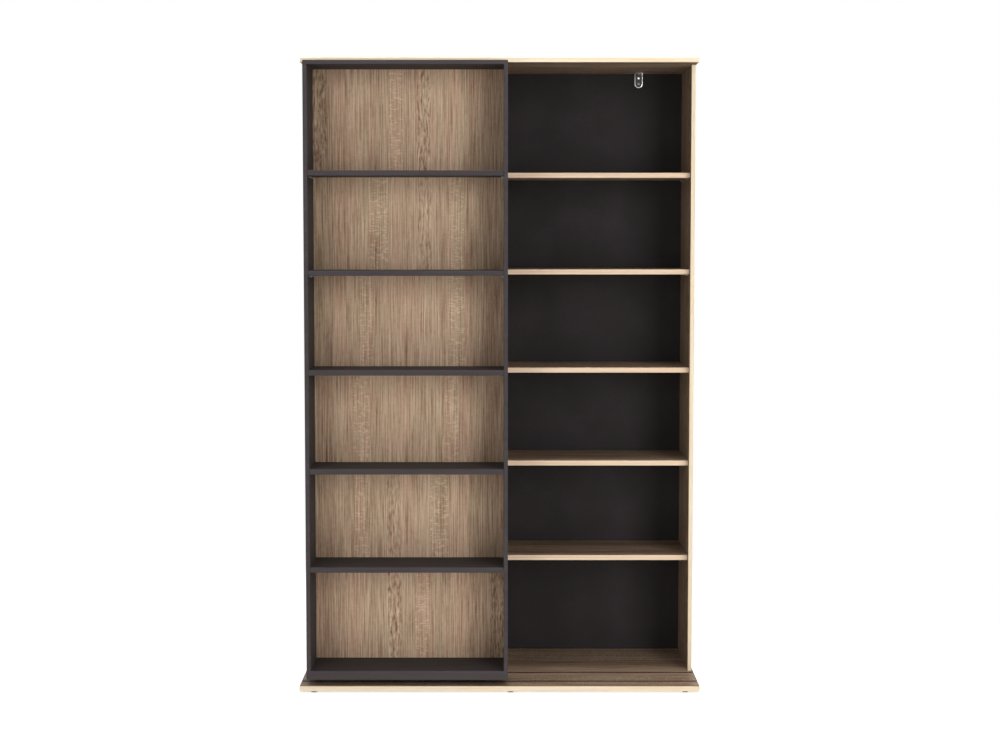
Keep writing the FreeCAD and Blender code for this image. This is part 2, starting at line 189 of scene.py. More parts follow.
def new_finish(name):
    """An empty material with its shader: (material, node tree, shader)."""
    material = bpy.data.materials.new(name)
    material.use_nodes = True
    shader = next(n for n in material.node_tree.nodes if n.type == "BSDF_PRINCIPLED")
    return material, material.node_tree, shader


def give(names, material):
    """Puts a finish on construction nodes, in place of the plain one that they come with."""
    for name in names:
        nodes[name].data.materials.clear()
        nodes[name].data.materials.append(material)


print("white is", shade("#ffffff"), "and middle grey", [round(v, 3) for v in shade("#808080")])

# %% [markdown]
# ## Light oak decor
#
# The carcass is chipboard faced with melamine paper. The paper is printed like rough-sawn oak: fine
# straight grain, planks of different tones side by side, a few of them with wilder figure, and in places
# the short cross marks that a saw leaves. An image of such a sheet would be one way. Here the print is
# layered from noise instead. A pattern of planks comes first, each with its own tone, figure and amount
# of saw marks. Then come three layers of streaks, from fine pores to broad bands, slanted flecks where
# the figure is wild, the saw marks, and last a slow drift of tint. The same recipe serves every board,
# with the axes swapped for standing and lying ones.

# %% The oak print
PLANK = 0.075                # metres, the usual width of one printed plank
STREAKS = (                  # width, length and strength of the streaks in each layer
    (0.0029, 0.150, 1.12),   # pores: 0.5 mm wide in oak, drawn wider so that they show
    (0.0090, 0.500, 0.12),   # year rings, cut lengthwise
    (0.0300, 1.500, 0.20),   # broad bands of paler and darker wood
)
FLECK = (0.0050, 0.0210)     # short flecks across the pores, stronger where the figure is wild
SAW_MARK = (0.0150, 0.0048)  # the length across the grain and the height of a saw's pale marks
FIGURED, SAWN = (0.60, 0.95), (0.6, 1.0)    # the spans of chance over which figure and saw marks set in
# the boards' tones are darker than the panel's: partly a real difference between melamine paper and printed
# hardboard, and partly painted shade on the boards' lying and standing faces
BOARD_TONES_WITH_PAINTED_SHADE = ((0.18, "#644f3f"), (0.34, "#7c6654"), (0.5, "#8e7965"), (0.66, "#9b8672"),
               (0.82, "#a7947f"))
PANEL_TONES = ((0.18, "#896d59"), (0.34, "#aa8c74"), (0.5, "#c1a58b"), (0.66, "#d3b69b"),
               (0.82, "#e2c9ad"))
TINTS = ((0.36, "#fff0ec"), (0.5, "#ffffff"), (0.64, "#f4faf0"))
# the axes that run across the grain, through the board and along the grain
LYING, STANDING, PANEL = (1, 2, 0), (1, 0, 2), (0, 1, 2)


def marks(width, length):
    """The three scales that draw noise out into marks of a width and length in metres."""
    return 1 / width, 1 / width, 1 / length


def oak_print(tree, tones, grain, planks=None):
    """The printed oak in a board's own axes: (colour, height) outputs."""
    spot = add(tree, "ShaderNodeSeparateXYZ", {0: here(tree)})
    across, through, along = (spot[axis] for axis in grain)
    if planks:
        chance = planks(tree, spot)
    else:
        # adding 3.7 times the place through the board gives each board other planks
        shift = calc(tree, "MULTIPLY_ADD", through, 3.7, across)
        cells = add(tree, "ShaderNodeTexVoronoi", {"W": shift, "Scale": 1 / PLANK, "Randomness": 0.75},
                    voronoi_dimensions="1D")
        chance = add(tree, "ShaderNodeSeparateColor", {0: cells["Color"]})
    figured = spread(tree, chance[1], span=FIGURED)
    own_along = calc(tree, "MULTIPLY_ADD", chance[0], 3.0, along)
    place = add(tree, "ShaderNodeCombineXYZ", {0: across, 1: through, 2: own_along})[0]

    # the grain sways a little, and more where it is figured
    sway = noise(tree, place, (22.0, 22.0, 6.0), 2.0)
    bend = calc(tree, "MULTIPLY_ADD", sway, spread(tree, figured, (0.001, 0.03)), across)
    bent = add(tree, "ShaderNodeCombineXYZ", {0: bend, 1: through, 2: own_along})[0]

    value = spread(tree, chance[0], (0.40, 0.60))
    for width, length, strength in STREAKS:
        swing = calc(tree, "ADD", noise(tree, bent, marks(width, length), 1.0), -0.5)
        value = calc(tree, "MULTIPLY_ADD", swing, strength, value)

    fleck = noise(tree, bent, marks(*FLECK), 1.5, slant=0.35)
    dark = spread(tree, fleck, (-0.28, 0.0), (0.32, 0.48))
    light = spread(tree, fleck, (0.0, 0.24), (0.56, 0.68))
    value = calc(tree, "MULTIPLY_ADD", calc(tree, "ADD", dark, light),
                 spread(tree, figured, (0.22, 1.0)), value)

    mark = spread(tree, noise(tree, place, marks(*SAW_MARK), 1.0), (-0.01, 0.22), (0.52, 0.66))
    value = calc(tree, "MULTIPLY_ADD", mark, spread(tree, chance[2], (0.14, 1.0), SAWN), value)

    tint = ramp(tree, noise(tree, place, (24.0, 24.0, 1.5), 2.0), TINTS)
    return blend(tree, 0.45, ramp(tree, value, tones), tint, "MULTIPLY"), value


print("layers of streaks:", len(STREAKS), "and tones:", len(BOARD_TONES_WITH_PAINTED_SHADE))

# %% [markdown]
# ## Edge banding and bare chipboard
#
# The front edges carry a plain cream strip, glued on by machine and trimmed flush. The strip is paler
# than the boards and shows only faint lengthwise streaks. The running grooves in the base, and the guide
# groove under the top, are milled through the paper, so their floors and walls show bare chipboard,
# painted dark brown as painted shade inside the narrow grooves. Both could be separate pieces, but a
# strip 0.4 mm thick is part of the board, so the finish is chosen by which way a face looks and where it
# lies. A groove's rear wall looks forward too, but isn't banded.

# %% The oak boards
CREAM = ("#f3dcba", "#fae6c7", "#fdeed5")
ROSY_CREAM = ("#ecceae", "#f6dabc", "#fde3c8")
# bare chipboard, painted dark brown: painted shade inside the narrow grooves
CHIPBOARD_IN_PAINTED_SHADE = ((0.1, "#2e2118"), (0.5, "#3d2d20"), (0.9, "#4d3b2a"))
STREAK_SCALES = (140.0, 3.0)    # of the banding's faint streaks: across them, and along them
CHIP_SCALE = 450.0              # of the chips in bare chipboard, which are about 2 mm across
# the sizes below are in metres
BAND_DEPTH = 0.0015             # takes in the eased corners of a front edge
HAIR = 0.0002                   # keeps a limit clear of the face beside it
WHEEL_ROWS = (-0.148, -0.0595)  # where the middles of the base's grooves lie along Y
GUIDE_ROW = -0.076              # and the middle of the groove in the top
GROOVE_HALF_WIDTH = 0.005       # a wheel groove's; the guide groove is half a millimetre less
WHEEL_GROOVE_DEPTH = 0.006      # both depths are a little more than is milled away
GUIDE_GROOVE_DEPTH = 0.007
GUIDE_GROOVE_END = 0.5285       # the groove in the top ends inside the board


def between(tree, value, low, high):
    """1 where a value lies between two limits, and 0 elsewhere."""
    return calc(tree, "MULTIPLY", calc(tree, "GREATER_THAN", value, low),
                calc(tree, "LESS_THAN", value, high))


def oak_board(name, like, grain, band_tones, banded_ends=False, milled=None):
    """Oak-faced chipboard with a cream front edge, as far back as that of the node like. milled gives the
    spans of its grooves along X, the list of their spans along Y, and their span along Z."""
    material, tree, shader = new_finish(name)
    face, height = oak_print(tree, BOARD_TONES_WITH_PAINTED_SHADE, grain)
    spot = here(tree)
    axes = add(tree, "ShaderNodeSeparateXYZ", {0: spot})
    foremost = calc(tree, "LESS_THAN", axes[1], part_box(like)[0].y + BAND_DEPTH)
    edge = calc(tree, "MULTIPLY", looks_forward(tree), foremost)
    short, long = STREAK_SCALES
    scales = [long if axis == grain[2] else short for axis in range(3)]
    drawn = add(tree, "ShaderNodeMapping", {"Vector": spot, "Scale": scales})[0]
    if banded_ends:
        # the strip on an end is drawn from front to back, so its streaks run that way too
        end = calc(tree, "GREATER_THAN", calc(tree, "ABSOLUTE", facing(tree)[0]), 0.5)
        edge = calc(tree, "MAXIMUM", edge, end)
        on_end = add(tree, "ShaderNodeMapping", {"Vector": spot, "Scale": (short, long, short)})[0]
        drawn = add(tree, "ShaderNodeMix", {0: end, 4: drawn, 5: on_end}, data_type="VECTOR")[1]
    band = ramp(tree, noise(tree, drawn, 1.0, 3.0), tuple(zip((0.3, 0.5, 0.7), band_tones)))
    colour = blend(tree, edge, face, band)
    # the grooves' floors and walls show chipboard in painted shade
    if milled:
        chips = add(tree, "ShaderNodeTexVoronoi", {"Vector": spot, "Scale": CHIP_SCALE})["Color"]
        shaded_chipboard = ramp(tree, add(tree, "ShaderNodeSeparateColor", {0: chips})[0], CHIPBOARD_IN_PAINTED_SHADE)
        lengthwise, rows, upright = milled
        inside = between(tree, axes[1], *rows[0])
        for row in rows[1:]:
            inside = calc(tree, "MAXIMUM", inside, between(tree, axes[1], *row))
        for axis, span in ((0, lengthwise), (2, upright)):
            inside = calc(tree, "MULTIPLY", inside, between(tree, axes[axis], *span))
        colour = blend(tree, inside, colour, shaded_chipboard)
    set_inputs(tree, shader, {"Base Color": colour, "Roughness": spread(tree, height, (0.68, 0.5)),
                              "Specular IOR Level": 0.15, "Normal": bump(tree, height)})
    return material


base_low, base_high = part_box("base_board")
top_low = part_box("carcass_top")[0]
wheel_grooves = (
    (base_low.x - HAIR, base_high.x + HAIR),
    [(y - GROOVE_HALF_WIDTH - HAIR, y + GROOVE_HALF_WIDTH + HAIR) for y in WHEEL_ROWS],
    (base_high.z - WHEEL_GROOVE_DEPTH, base_high.z - HAIR))
guide_groove = (
    (-GUIDE_GROOVE_END - HAIR, GUIDE_GROOVE_END + HAIR),
    [(GUIDE_ROW - GROOVE_HALF_WIDTH, GUIDE_ROW + GROOVE_HALF_WIDTH)],
    (top_low.z + HAIR, top_low.z + GUIDE_GROOVE_DEPTH))
shelves = [f"carcass_shelf_{bay}_{k}" for bay in ("left", "right") for k in range(1, 6)]
uprights = ["carcass_side_left", "carcass_side_right", "carcass_partition"]
give(shelves, oak_board("melamine_oak_shelf", shelves[0], LYING, ROSY_CREAM))
give(["base_board"], oak_board("melamine_oak_base", "base_board", LYING, CREAM, True, wheel_grooves))
give(["carcass_top"], oak_board("melamine_oak_top", "carcass_top", LYING, CREAM, True, guide_groove))
give(uprights, oak_board("melamine_oak_standing", "carcass_partition", STANDING, CREAM))
print("oak boards:", len(shelves) + len(uprights) + 2)

# %% [markdown]
# ## The printed back of the sliding unit
#
# The unit's back is 3 mm hardboard with the same oak print, its grain upright, and raw brown fibre on
# the side towards the carcass. The sheet is printed in courses, one behind each bay, and its lower half
# is the upper half turned upside down. So the planks of three bays are written down one after another,
# instead of being left to chance, and a position on the panel is looked up in that row. The carcass has
# two panels of the same hardboard, lacquered matt black in front.

# %% The hardboard backs
COURSE = 0.288               # metres, the height of a bay
BAY_PLANKS = (               # for each bay from the middle up: a plank's left edge in metres from the
    (                        # panel's own, then its tone, figure and amount of saw marks
        (0.000, (0.40, 0.1, 0.2)), (0.062, (0.52, 0.3, 0.5)), (0.138, (0.60, 0.2, 0.85)),
        (0.182, (0.55, 0.1, 0.1)), (0.290, (0.66, 0.5, 0.4)), (0.408, (0.60, 0.2, 0.95)),
        (0.455, (0.42, 0.5, 0.3)), (0.520, (0.30, 0.3, 0.1)),
    ), (
        (0.000, (0.36, 0.1, 0.1)), (0.108, (0.58, 0.3, 0.3)), (0.171, (0.50, 0.5, 1.00)),
        (0.229, (0.72, 0.2, 0.1)), (0.318, (0.46, 0.8, 0.5)), (0.360, (0.60, 0.1, 0.3)),
        (0.410, (0.56, 0.4, 0.9)), (0.455, (0.40, 0.2, 0.2)), (0.530, (0.28, 0.5, 0.2)),
    ), (
        (0.000, (0.16, 0.9, 0.1)), (0.050, (0.30, 0.1, 0.1)), (0.109, (0.56, 0.2, 0.3)),
        (0.169, (0.42, 0.4, 0.6)), (0.229, (0.60, 0.5, 0.95)), (0.273, (0.66, 0.2, 0.5)),
        (0.315, (0.50, 1.0, 0.6)), (0.358, (0.70, 0.2, 0.3)), (0.417, (0.62, 0.1, 0.2)),
        (0.470, (0.40, 0.4, 0.1)), (0.530, (0.26, 0.6, 0.1)),
    ),
)


def back_planks(tree, spot):
    """The tone, figure and saw marks of the plank at a place on the unit's back."""
    low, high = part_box("unit_back")
    shelf_low, shelf_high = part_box("unit_shelf_3")
    middle_x, middle_z = (low.x + high.x) / 2, (shelf_low.z + shelf_high.z) / 2
    width, bays = high.x - low.x, len(BAY_PLANKS)
    turn = calc(tree, "MULTIPLY_ADD", calc(tree, "GREATER_THAN", spot[2], middle_z), 2.0, -1.0)
    right = calc(tree, "MULTIPLY_ADD", calc(tree, "SUBTRACT", spot[0], middle_x), turn, width / 2)
    away = calc(tree, "ABSOLUTE", calc(tree, "SUBTRACT", spot[2], middle_z))
    course = calc(tree, "FLOOR", calc(tree, "DIVIDE", away, COURSE))
    course = calc(tree, "MINIMUM", course, bays - 1.0)
    along_row = calc(tree, "MULTIPLY_ADD", course, width, right)
    stops = [((bay + start / width) / bays, traits)
             for bay, planks in enumerate(BAY_PLANKS) for start, traits in planks]
    row = ramp(tree, calc(tree, "DIVIDE", along_row, width * bays), stops, steps=True)
    return add(tree, "ShaderNodeSeparateColor", {0: row})


def fibre(tree):
    """The raw side of hardboard: brown, matted, with the imprint of the press screen."""
    place = here(tree)
    screen = add(tree, "ShaderNodeTexVoronoi", {"Vector": place, "Scale": 380.0, "Randomness": 0.15})
    both = calc(tree, "MULTIPLY_ADD", screen["Distance"], 0.35, noise(tree, place, 220.0, 5.0))
    return ramp(tree, both, ((0.35, "#6b5038"), (0.6, "#8a6c4f"), (0.85, "#a18463")))


def hardboard(tree, shader, front_colour, height, rough):
    """Joins a front face and the raw back of a panel, chosen by which way the face looks."""
    set_inputs(tree, shader, {
        "Base Color": blend(tree, looks_forward(tree), fibre(tree), front_colour),
        "Roughness": rough, "Specular IOR Level": 0.2, "Normal": bump(tree, height)})


material, tree, shader = new_finish("hardboard_oak_print")
face, height = oak_print(tree, PANEL_TONES, PANEL, back_planks)
hardboard(tree, shader, face, height, 0.65)
give(["unit_back"], material)

material, tree, shader = new_finish("hardboard_black_lacquer")
place = here(tree)
orange_peel = noise(tree, place, 160.0, 3.0)
depth = calc(tree, "MULTIPLY_ADD", orange_peel, 0.35, noise(tree, place, 9.0, 3.0))
black = ramp(tree, depth, ((0.5, "#2c2728"), (0.68, "#2f2a2c"), (0.85, "#332e30")))
hardboard(tree, shader, black, orange_peel, 0.7)
give(["carcass_back_left", "carcass_back_right"], material)
print("planks on the unit's back:", 2 * sum(len(planks) for planks in BAY_PLANKS))

# %% [markdown]
# ## Anthracite melamine
#
# The sliding unit is faced in a matt anthracite paper with a pearl texture: a fine pressed stipple that
# breaks up the light. The colour is nearly even, so the life comes from the stipple and a slow drift in
# tone. The band on the front edges is a shade lighter than the paper: partly a real lighter band, and
# partly painted light, as every face that looks to the front is made lighter and the others darker.

# %% The anthracite boards
material, tree, shader = new_finish("melamine_anthracite")
place = here(tree)
stipple = noise(tree, place, 700.0, 2.0)
both = calc(tree, "MULTIPLY_ADD", stipple, 0.3, noise(tree, place, (6.0, 60.0, 60.0), 4.0))
# faces that look to the front are lighter: partly a real band and partly painted light, with the other faces
# a shade darker
plain = ramp(tree, both, ((0.4, "#3f3a39"), (0.65, "#433e3d"), (0.9, "#484342")))
band_with_painted_light = ramp(tree, both, ((0.4, "#484244"), (0.65, "#4c4648"), (0.9, "#514b4d")))
set_inputs(tree, shader, {
    "Base Color": blend(tree, looks_forward(tree), plain, band_with_painted_light),
    "Roughness": spread(tree, stipple, (0.65, 0.8)), "Specular IOR Level": 0.12,
    "Normal": bump(tree, stipple, distance=0.0002)})
dark_boards = sorted(row["node"] for row in frame["record"]["subparts"]
                     if row["material_slot"] == "anthracite_decor")
give(dark_boards, material)
print("anthracite boards:", len(dark_boards))

# %% [markdown]
# ## Metals, plastics and beech
#
# The fittings need few words. Zinc-plated steel is grey and slightly cloudy, and the wall brackets are
# the same steel, with a painted highlight on the pressed rim and painted shade in the tray. The cams
# are die-cast zinc and rougher.
# The wheel housings are coated black, the wheels and guide pins are black nylon, a waxy plastic, and the
# glides are black polyethylene, which is softer and duller.

# %% The finishes of the fittings
def metal(name, low, high, rough_low, rough_high, grit):
    """A plated or cast metal: its tone and gloss vary with a fine pattern. grit is in metres."""
    material, tree, shader = new_finish(name)
    fine = noise(tree, here(tree), 1 / grit, 4.0)
    set_inputs(tree, shader, {"Base Color": ramp(tree, fine, ((0.35, low), (0.65, high))),
                              "Roughness": spread(tree, fine, (rough_low, rough_high)), "Metallic": 1.0})
    return material


def coating(name, low, high, rough, grit):
    """A moulded plastic, paint or plain wood with a faint texture. grit is in metres."""
    material, tree, shader = new_finish(name)
    fine = noise(tree, here(tree), 1 / grit, 3.0)
    set_inputs(tree, shader, {"Base Color": ramp(tree, fine, ((0.35, low), (0.65, high))),
                              "Roughness": rough, "Normal": bump(tree, fine, 0.15, 0.0001)})
    return material


zinc = metal("zinc_plated_steel", "#a8a8a6", "#c4c4c2", 0.3, 0.5, 0.004)
casting = metal("die_cast_zinc", "#8e8e90", "#a5a5a8", 0.45, 0.65, 0.002)
black_steel = coating("black_coated_steel", "#242425", "#2b2b2c", 0.5, 0.0015)
nylon = coating("black_nylon", "#1d1d1e", "#242425", 0.45, 0.0025)
glide_black = coating("black_polyethylene", "#0d0d0d", "#131313", 0.5, 0.002)
beech = coating("beech_dowel", "#b98f66", "#d0a67b", 0.6, 0.006)

give(["wheel_axles", "carcass_cam_bolts", "unit_cam_bolts"], zinc)
give(["wheel_housings"], black_steel)
give(["carcass_dowels", "unit_dowels"], beech)
print("finishes:", len(bpy.data.materials))


# %% [markdown]
# ## From a bmesh to a piece
#
# Each small fitting is made once, standing on the origin, and then set out at the places that the
# construction model gives. A construction node that groups several fittings holds them as loose solids,
# so a helper reads the box of each one from a merged copy. Setting out copies the template into one
# bmesh per node, which keeps the list of pieces short.

# %% Helpers for pieces
def solids(name):
    """The lowest and highest corner of each separate solid of a construction node, in a fixed order."""
    copy = bmesh.new()
    copy.from_mesh(nodes[name].data)
    bmesh.ops.remove_doubles(copy, verts=copy.verts, dist=1e-6)
    left, boxes = set(copy.verts), []
    while left:
        island, fresh = set(), {left.pop()}
        while fresh:
            corner = fresh.pop()
            island.add(corner)
            fresh |= {edge.other_vert(corner) for edge in corner.link_edges} - island
        left -= island
        boxes.append([Vector([choose(corner.co[k] for corner in island) for k in range(3)])
                      for choose in (min, max)])
    copy.free()
    return sorted(boxes, key=lambda box: [round(value, 4) for value in box[0]])


def turned(profile, steps, closed=False):
    """A solid turned about Z from (radius, height) points. A profile that starts and ends on the axis,
    or that is closed, gives a closed solid."""
    shape = bmesh.new()
    corners = [shape.verts.new((radius, 0.0, height)) for radius, height in profile]
    lines = [shape.edges.new(pair) for pair in zip(corners, corners[1:])]
    if closed:
        lines.append(shape.edges.new((corners[-1], corners[0])))
    bmesh.ops.spin(shape, geom=corners + lines, axis=(0.0, 0.0, 1.0), cent=(0.0, 0.0, 0.0),
                   angle=2 * math.pi, steps=steps, use_merge=True)
    bmesh.ops.remove_doubles(shape, verts=shape.verts, dist=1e-7)
    bmesh.ops.recalc_face_normals(shape, faces=shape.faces)
    return shape


def set_out(template, placings):
    """One bmesh with a copy of the template at each placing, a 4 by 4 matrix."""
    pattern = bpy.data.meshes.new("pattern")
    template.to_mesh(pattern)
    whole = bmesh.new()
    for placing in placings:
        seen = len(whole.verts)
        whole.from_mesh(pattern)
        whole.verts.ensure_lookup_table()
        bmesh.ops.transform(whole, matrix=placing, verts=whole.verts[seen:])
    bpy.data.meshes.remove(pattern)
    template.free()
    return whole


def piece(name, shape, material, body, slot, *replaced, crease=35.0):
    """Makes a piece of a bmesh, smooth up to the crease angle, and ties it to the frame."""
    for face in shape.faces:
        face.smooth = True
    for edge in shape.edges:
        edge.smooth = edge.calc_face_angle(math.pi) < math.radians(crease)
    mesh = bpy.data.meshes.new(name)
    shape.to_mesh(mesh)
    shape.free()
    mesh.materials.append(material)
    made = bpy.data.objects.new(name, mesh)
    bpy.context.scene.collection.objects.link(made)
    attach(made, body)
    if replaced:
        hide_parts(*replaced)
    print(f"{name}: {len(mesh.polygons)} faces")


def standing(place, towards):
    """Puts a template's origin at a place, with its Z axis pointing towards a direction."""
    return Matrix.Translation(place) @ Vector(towards).to_track_quat("Z", "Y").to_matrix().to_4x4()


def centred(boxes, height):
    """Placings in the middle of each box, all at one height."""
    return [Matrix.Translation(((low.x + high.x) / 2, (low.y + high.y) / 2, height)) for low, high in boxes]


def join(whole, *others):
    """Adds bmeshes to the first one."""
    for other in others:
        pattern = bpy.data.meshes.new("pattern")
        other.to_mesh(pattern)
        whole.from_mesh(pattern)
        bpy.data.meshes.remove(pattern)
        other.free()
    return whole


print("shelf pins to set out:", len(solids("carcass_shelf_pins")) + len(solids("unit_shelf_pins")))

# %% [markdown]
# ## Wheels
#
# Four moulded wheels carry the sliding unit along the grooves. Each has a hub, a thinner web and a tread
# with eased corners. The half section is drawn once as a closed outline and turned about the axle, which
# is what the moulding tool was made by as well.

# %% The wheels
WHEEL_SECTION = (            # radius and distance from the middle, as shares of the tread and half width
    (0.171, -1.00), (0.340, -1.00), (0.365, -0.94), (0.400, -0.32), (0.760, -0.32), (0.795, -0.92),
    (0.815, -1.00), (0.940, -1.00), (0.985, -0.93), (1.000, -0.80), (1.000, 0.80), (0.985, 0.93),
    (0.940, 1.00), (0.815, 1.00), (0.795, 0.92), (0.760, 0.32), (0.400, 0.32), (0.365, 0.94),
    (0.340, 1.00), (0.171, 1.00),
)
for node in [f"wheel_{end}_{side}" for end in ("front", "rear") for side in ("left", "right")]:
    low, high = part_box(node)
    radius, half_width = (high.x - low.x) / 2, (high.y - low.y) / 2
    wheel = turned([(r * radius, h * half_width) for r, h in WHEEL_SECTION], 48, closed=True)
    wheel = set_out(wheel, [standing((low + high) / 2, (0.0, 1.0, 0.0))])
    piece(f"{node}_moulded", wheel, nylon, node, "nylon", node)

# %% [markdown]
# ## Glides
#
# Six nail-on glides keep the base off the floor. A glide is a thick polyethylene button: a short rim
# against the board, a skirt rounded below, and a wide flat foot. Its nail goes up into the board.

# %% The glides
SKIRT_STEPS = 7
FOOT_SHARE = 0.84            # the flat foot's share of a glide's radius
RIM_HEIGHT, RIM_EASE = 0.0034, 0.0003
NAIL_RADIUS, NAIL_POINT = 0.0013, 0.002

glide_boxes = solids("base_glides")
low, high = glide_boxes[0]
radius, button_height, tip = (high.x - low.x) / 2, base_low.z - low.z, high.z - low.z
foot_radius = FOOT_SHARE * radius
skirt = [(foot_radius + (radius - foot_radius) * math.sin(turn),
          (button_height - RIM_HEIGHT) * (1 - math.cos(turn)))
         for turn in (math.pi / 2 * k / SKIRT_STEPS for k in range(SKIRT_STEPS + 1))]
rim = [(radius, button_height - RIM_EASE), (radius - RIM_EASE, button_height)]
nail = [(NAIL_RADIUS, button_height), (NAIL_RADIUS, tip - NAIL_POINT), (0.0, tip)]
glide = turned([(0.0, 0.0)] + skirt + rim + nail, 32)
piece("glide_buttons", set_out(glide, centred(glide_boxes, low.z)), glide_black, "carcass",
      "black_plastic", "base_glides")


# %% [markdown]
# ## Screws, with threads and cross recesses
#
# Chipboard screws hold the carcass and the unit together, and small pan-head screws hold the brackets
# and the wheel housings. Only the heads show, but each screw is turned whole: a point, a threaded shank
# drawn as ridges, a plain neck and a head. The cross recess is sunk by reshaping the sixteen-sided face
# in the middle of the head into a plus sign, and pushing it down to a smaller one.

# %% The screws
RECESS_SIDES = 16            # four corners to each quarter are what a plus sign needs
CORE, PITCH = 0.68, 0.44     # the core's share of the thread's radius, and the pitch's of its width


def sink_cross(shape, reach, half_width, depth):
    """Sinks a cross recess into the open ring around the axis at the top of a turned head."""
    rim = [edge for edge in shape.edges if edge.is_boundary]
    face = bmesh.ops.holes_fill(shape, edges=rim, sides=0)["faces"][0]
    level = face.verts[0].co.z

    def arm(share):
        if abs(share) < 0.1:
            return 0.0
        return math.copysign(half_width if abs(share) < 0.8 else reach, share)

    for corner in face.verts:
        way = corner.co.xy.normalized()
        corner.co = (arm(way.x), arm(way.y), level)
    pressed = bmesh.ops.extrude_discrete_faces(shape, faces=[face])["faces"][0]
    bmesh.ops.translate(shape, verts=pressed.verts, vec=(0.0, 0.0, -depth))
    bmesh.ops.scale(shape, verts=pressed.verts, vec=(0.45, 0.45, 1.0))
    bmesh.ops.recalc_face_normals(shape, faces=shape.faces)
    return shape


def screw(length, across, head_across, head_length, pan):
    """A cross-head screw with the top of its head on the origin and its point below."""
    radius, head = across / 2, head_across / 2
    core, pitch = radius * CORE, across * PITCH
    first, last = -length + 1.2 * across, -head_length - 0.18 * length
    profile = [(0.0, -length), (core * 0.55, -length + 0.5 * across)]
    for k in range(int((last - first) / pitch)):
        profile += [(core, first + pitch * k), (radius, first + pitch * (k + 0.5))]
    profile += [(core, last), (core * 1.12, last), (core * 1.12, -head_length)]
    if pan:
        profile += [(head * 0.97, -head_length), (head, -head_length * 0.85), (head, -head_length * 0.5),
                    (head * 0.9, -head_length * 0.18), (head * 0.72, 0.0)]
    else:
        profile += [(head * 0.96, -head_length * 0.12), (head, -head_length * 0.04), (head * 0.97, 0.0)]
    profile += [(head * 0.6, 0.0)]
    return sink_cross(turned(profile, RECESS_SIDES), head * 0.52, head * 0.11, head_length * 0.6)


def drive_in(node, across, head_across, head_length, pan, outward):
    """Sets out screws at a node's solids. outward(size, middle) says which way a head looks."""
    alike = {}
    for low, high in solids(node):
        size, middle = high - low, (low + high) / 2
        way = Vector(outward(size, middle))
        length = round(abs(size.dot(way)), 4)
        alike.setdefault(length, []).append(standing(middle + way * length / 2, way))
    return join(*(set_out(screw(length, across, head_across, head_length, pan), placings)
                  for length, placings in alike.items()))


def up_or_down(size, middle):
    """Screws in the upper half of the bookcase look up, and those in the lower half look down."""
    return (0.0, 0.0, 1.0 if middle.z > cad_box[1][2] / 2 else -1.0)


piece("carcass_screws_turned", drive_in("carcass_screws", 0.005, 0.009, 0.004, False, up_or_down),
      zinc, "carcass", "zinc_steel", "carcass_screws")
piece("unit_screws_turned", drive_in("unit_screws", 0.0035, 0.007, 0.003, False, up_or_down),
      zinc, "front_unit", "zinc_steel", "unit_screws")
piece("housing_screws_turned",
      drive_in("housing_screws", 0.003, 0.007, 0.002, True, lambda size, middle: (0.0, 0.0, -1.0)),
      black_steel, "front_unit", "black_steel", "housing_screws")


# %% [markdown]
# ## Shelf pins, guide pins and brads
#
# The loose shelves lie on steel pins, pushed into blind holes at each side and right through the
# partition. The brads along the backs are driven home, so only the faces of their heads show. The guide
# pins stand on top of the unit and run in the groove under the top board: a shank in the board, and a
# wide waxy head with an eased end.

# %% The pins and brads
PIN_EASE = 0.0005            # metres, like all the sizes below
GUIDE_SHANK = 0.0025
BRAD_ROWS, BRAD_INSET = 5, 0.05
BRAD_EDGE, BRAD_SEAM = 0.004, 0.003    # from a panel's outer edge, and from the one at the partition
BRAD_PROUD = 0.00002         # how far a head stands out of the sheet: just enough to be seen
BRAD_SECTION = ((0.0, -0.018), (0.0006, -0.016), (0.0006, -0.0005), (0.0016, -0.0004),
                (0.0017, -0.0001), (0.0016, 0.0), (0.0, -0.0001))


def pin(radius, length, ease):
    """A plain pin along Z about the origin, with eased ends."""
    half = length / 2
    return turned([(0.0, -half), (radius - ease, -half), (radius, -half + ease), (radius, half - ease),
                   (radius - ease, half), (0.0, half)], 16)


def pins_along_x(node):
    """Pins that stand for a node's solids, which all lie along X."""
    boxes, alike = solids(node), {}
    for low, high in boxes:
        placing = standing((low + high) / 2, (1.0, 0.0, 0.0))
        alike.setdefault(round(high.x - low.x, 4), []).append(placing)
    radius = (boxes[0][1].z - boxes[0][0].z) / 2
    return join(*(set_out(pin(radius, length, PIN_EASE), placings)
                  for length, placings in sorted(alike.items())))


piece("carcass_pins_turned", pins_along_x("carcass_shelf_pins"), zinc, "carcass", "zinc_steel",
      "carcass_shelf_pins")
piece("unit_pins_turned", pins_along_x("unit_shelf_pins"), zinc, "front_unit", "zinc_steel",
      "unit_shelf_pins")

unit_low, unit_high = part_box("unit_top")
guide_boxes = solids("guide_pins")
low, high = guide_boxes[0]
head, rise, seat = (high.x - low.x) / 2, high.z - unit_high.z, low.z - unit_high.z
guide = turned([(0.0, seat), (GUIDE_SHANK, seat + 0.0005), (GUIDE_SHANK, 0.0),
                (head - 0.0004, 0.0), (head, 0.0004), (head, rise - 0.0012), (head - 0.0004, rise - 0.0004),
                (head - 0.0013, rise), (0.0, rise)], 32)
piece("guide_pins_turned", set_out(guide, centred(guide_boxes, unit_high.z)), nylon, "front_unit",
      "nylon", "guide_pins")


def brads(low, high, columns):
    """Rows of brads at each column of a sheet, with their heads on its rear face."""
    rows = [low.z + BRAD_INSET + (high.z - low.z - 2 * BRAD_INSET) * k / (BRAD_ROWS - 1)
            for k in range(BRAD_ROWS)]
    places = [standing((x, high.y + BRAD_PROUD, z), (0.0, 1.0, 0.0)) for x in columns for z in rows]
    return set_out(turned(BRAD_SECTION, 12), places)


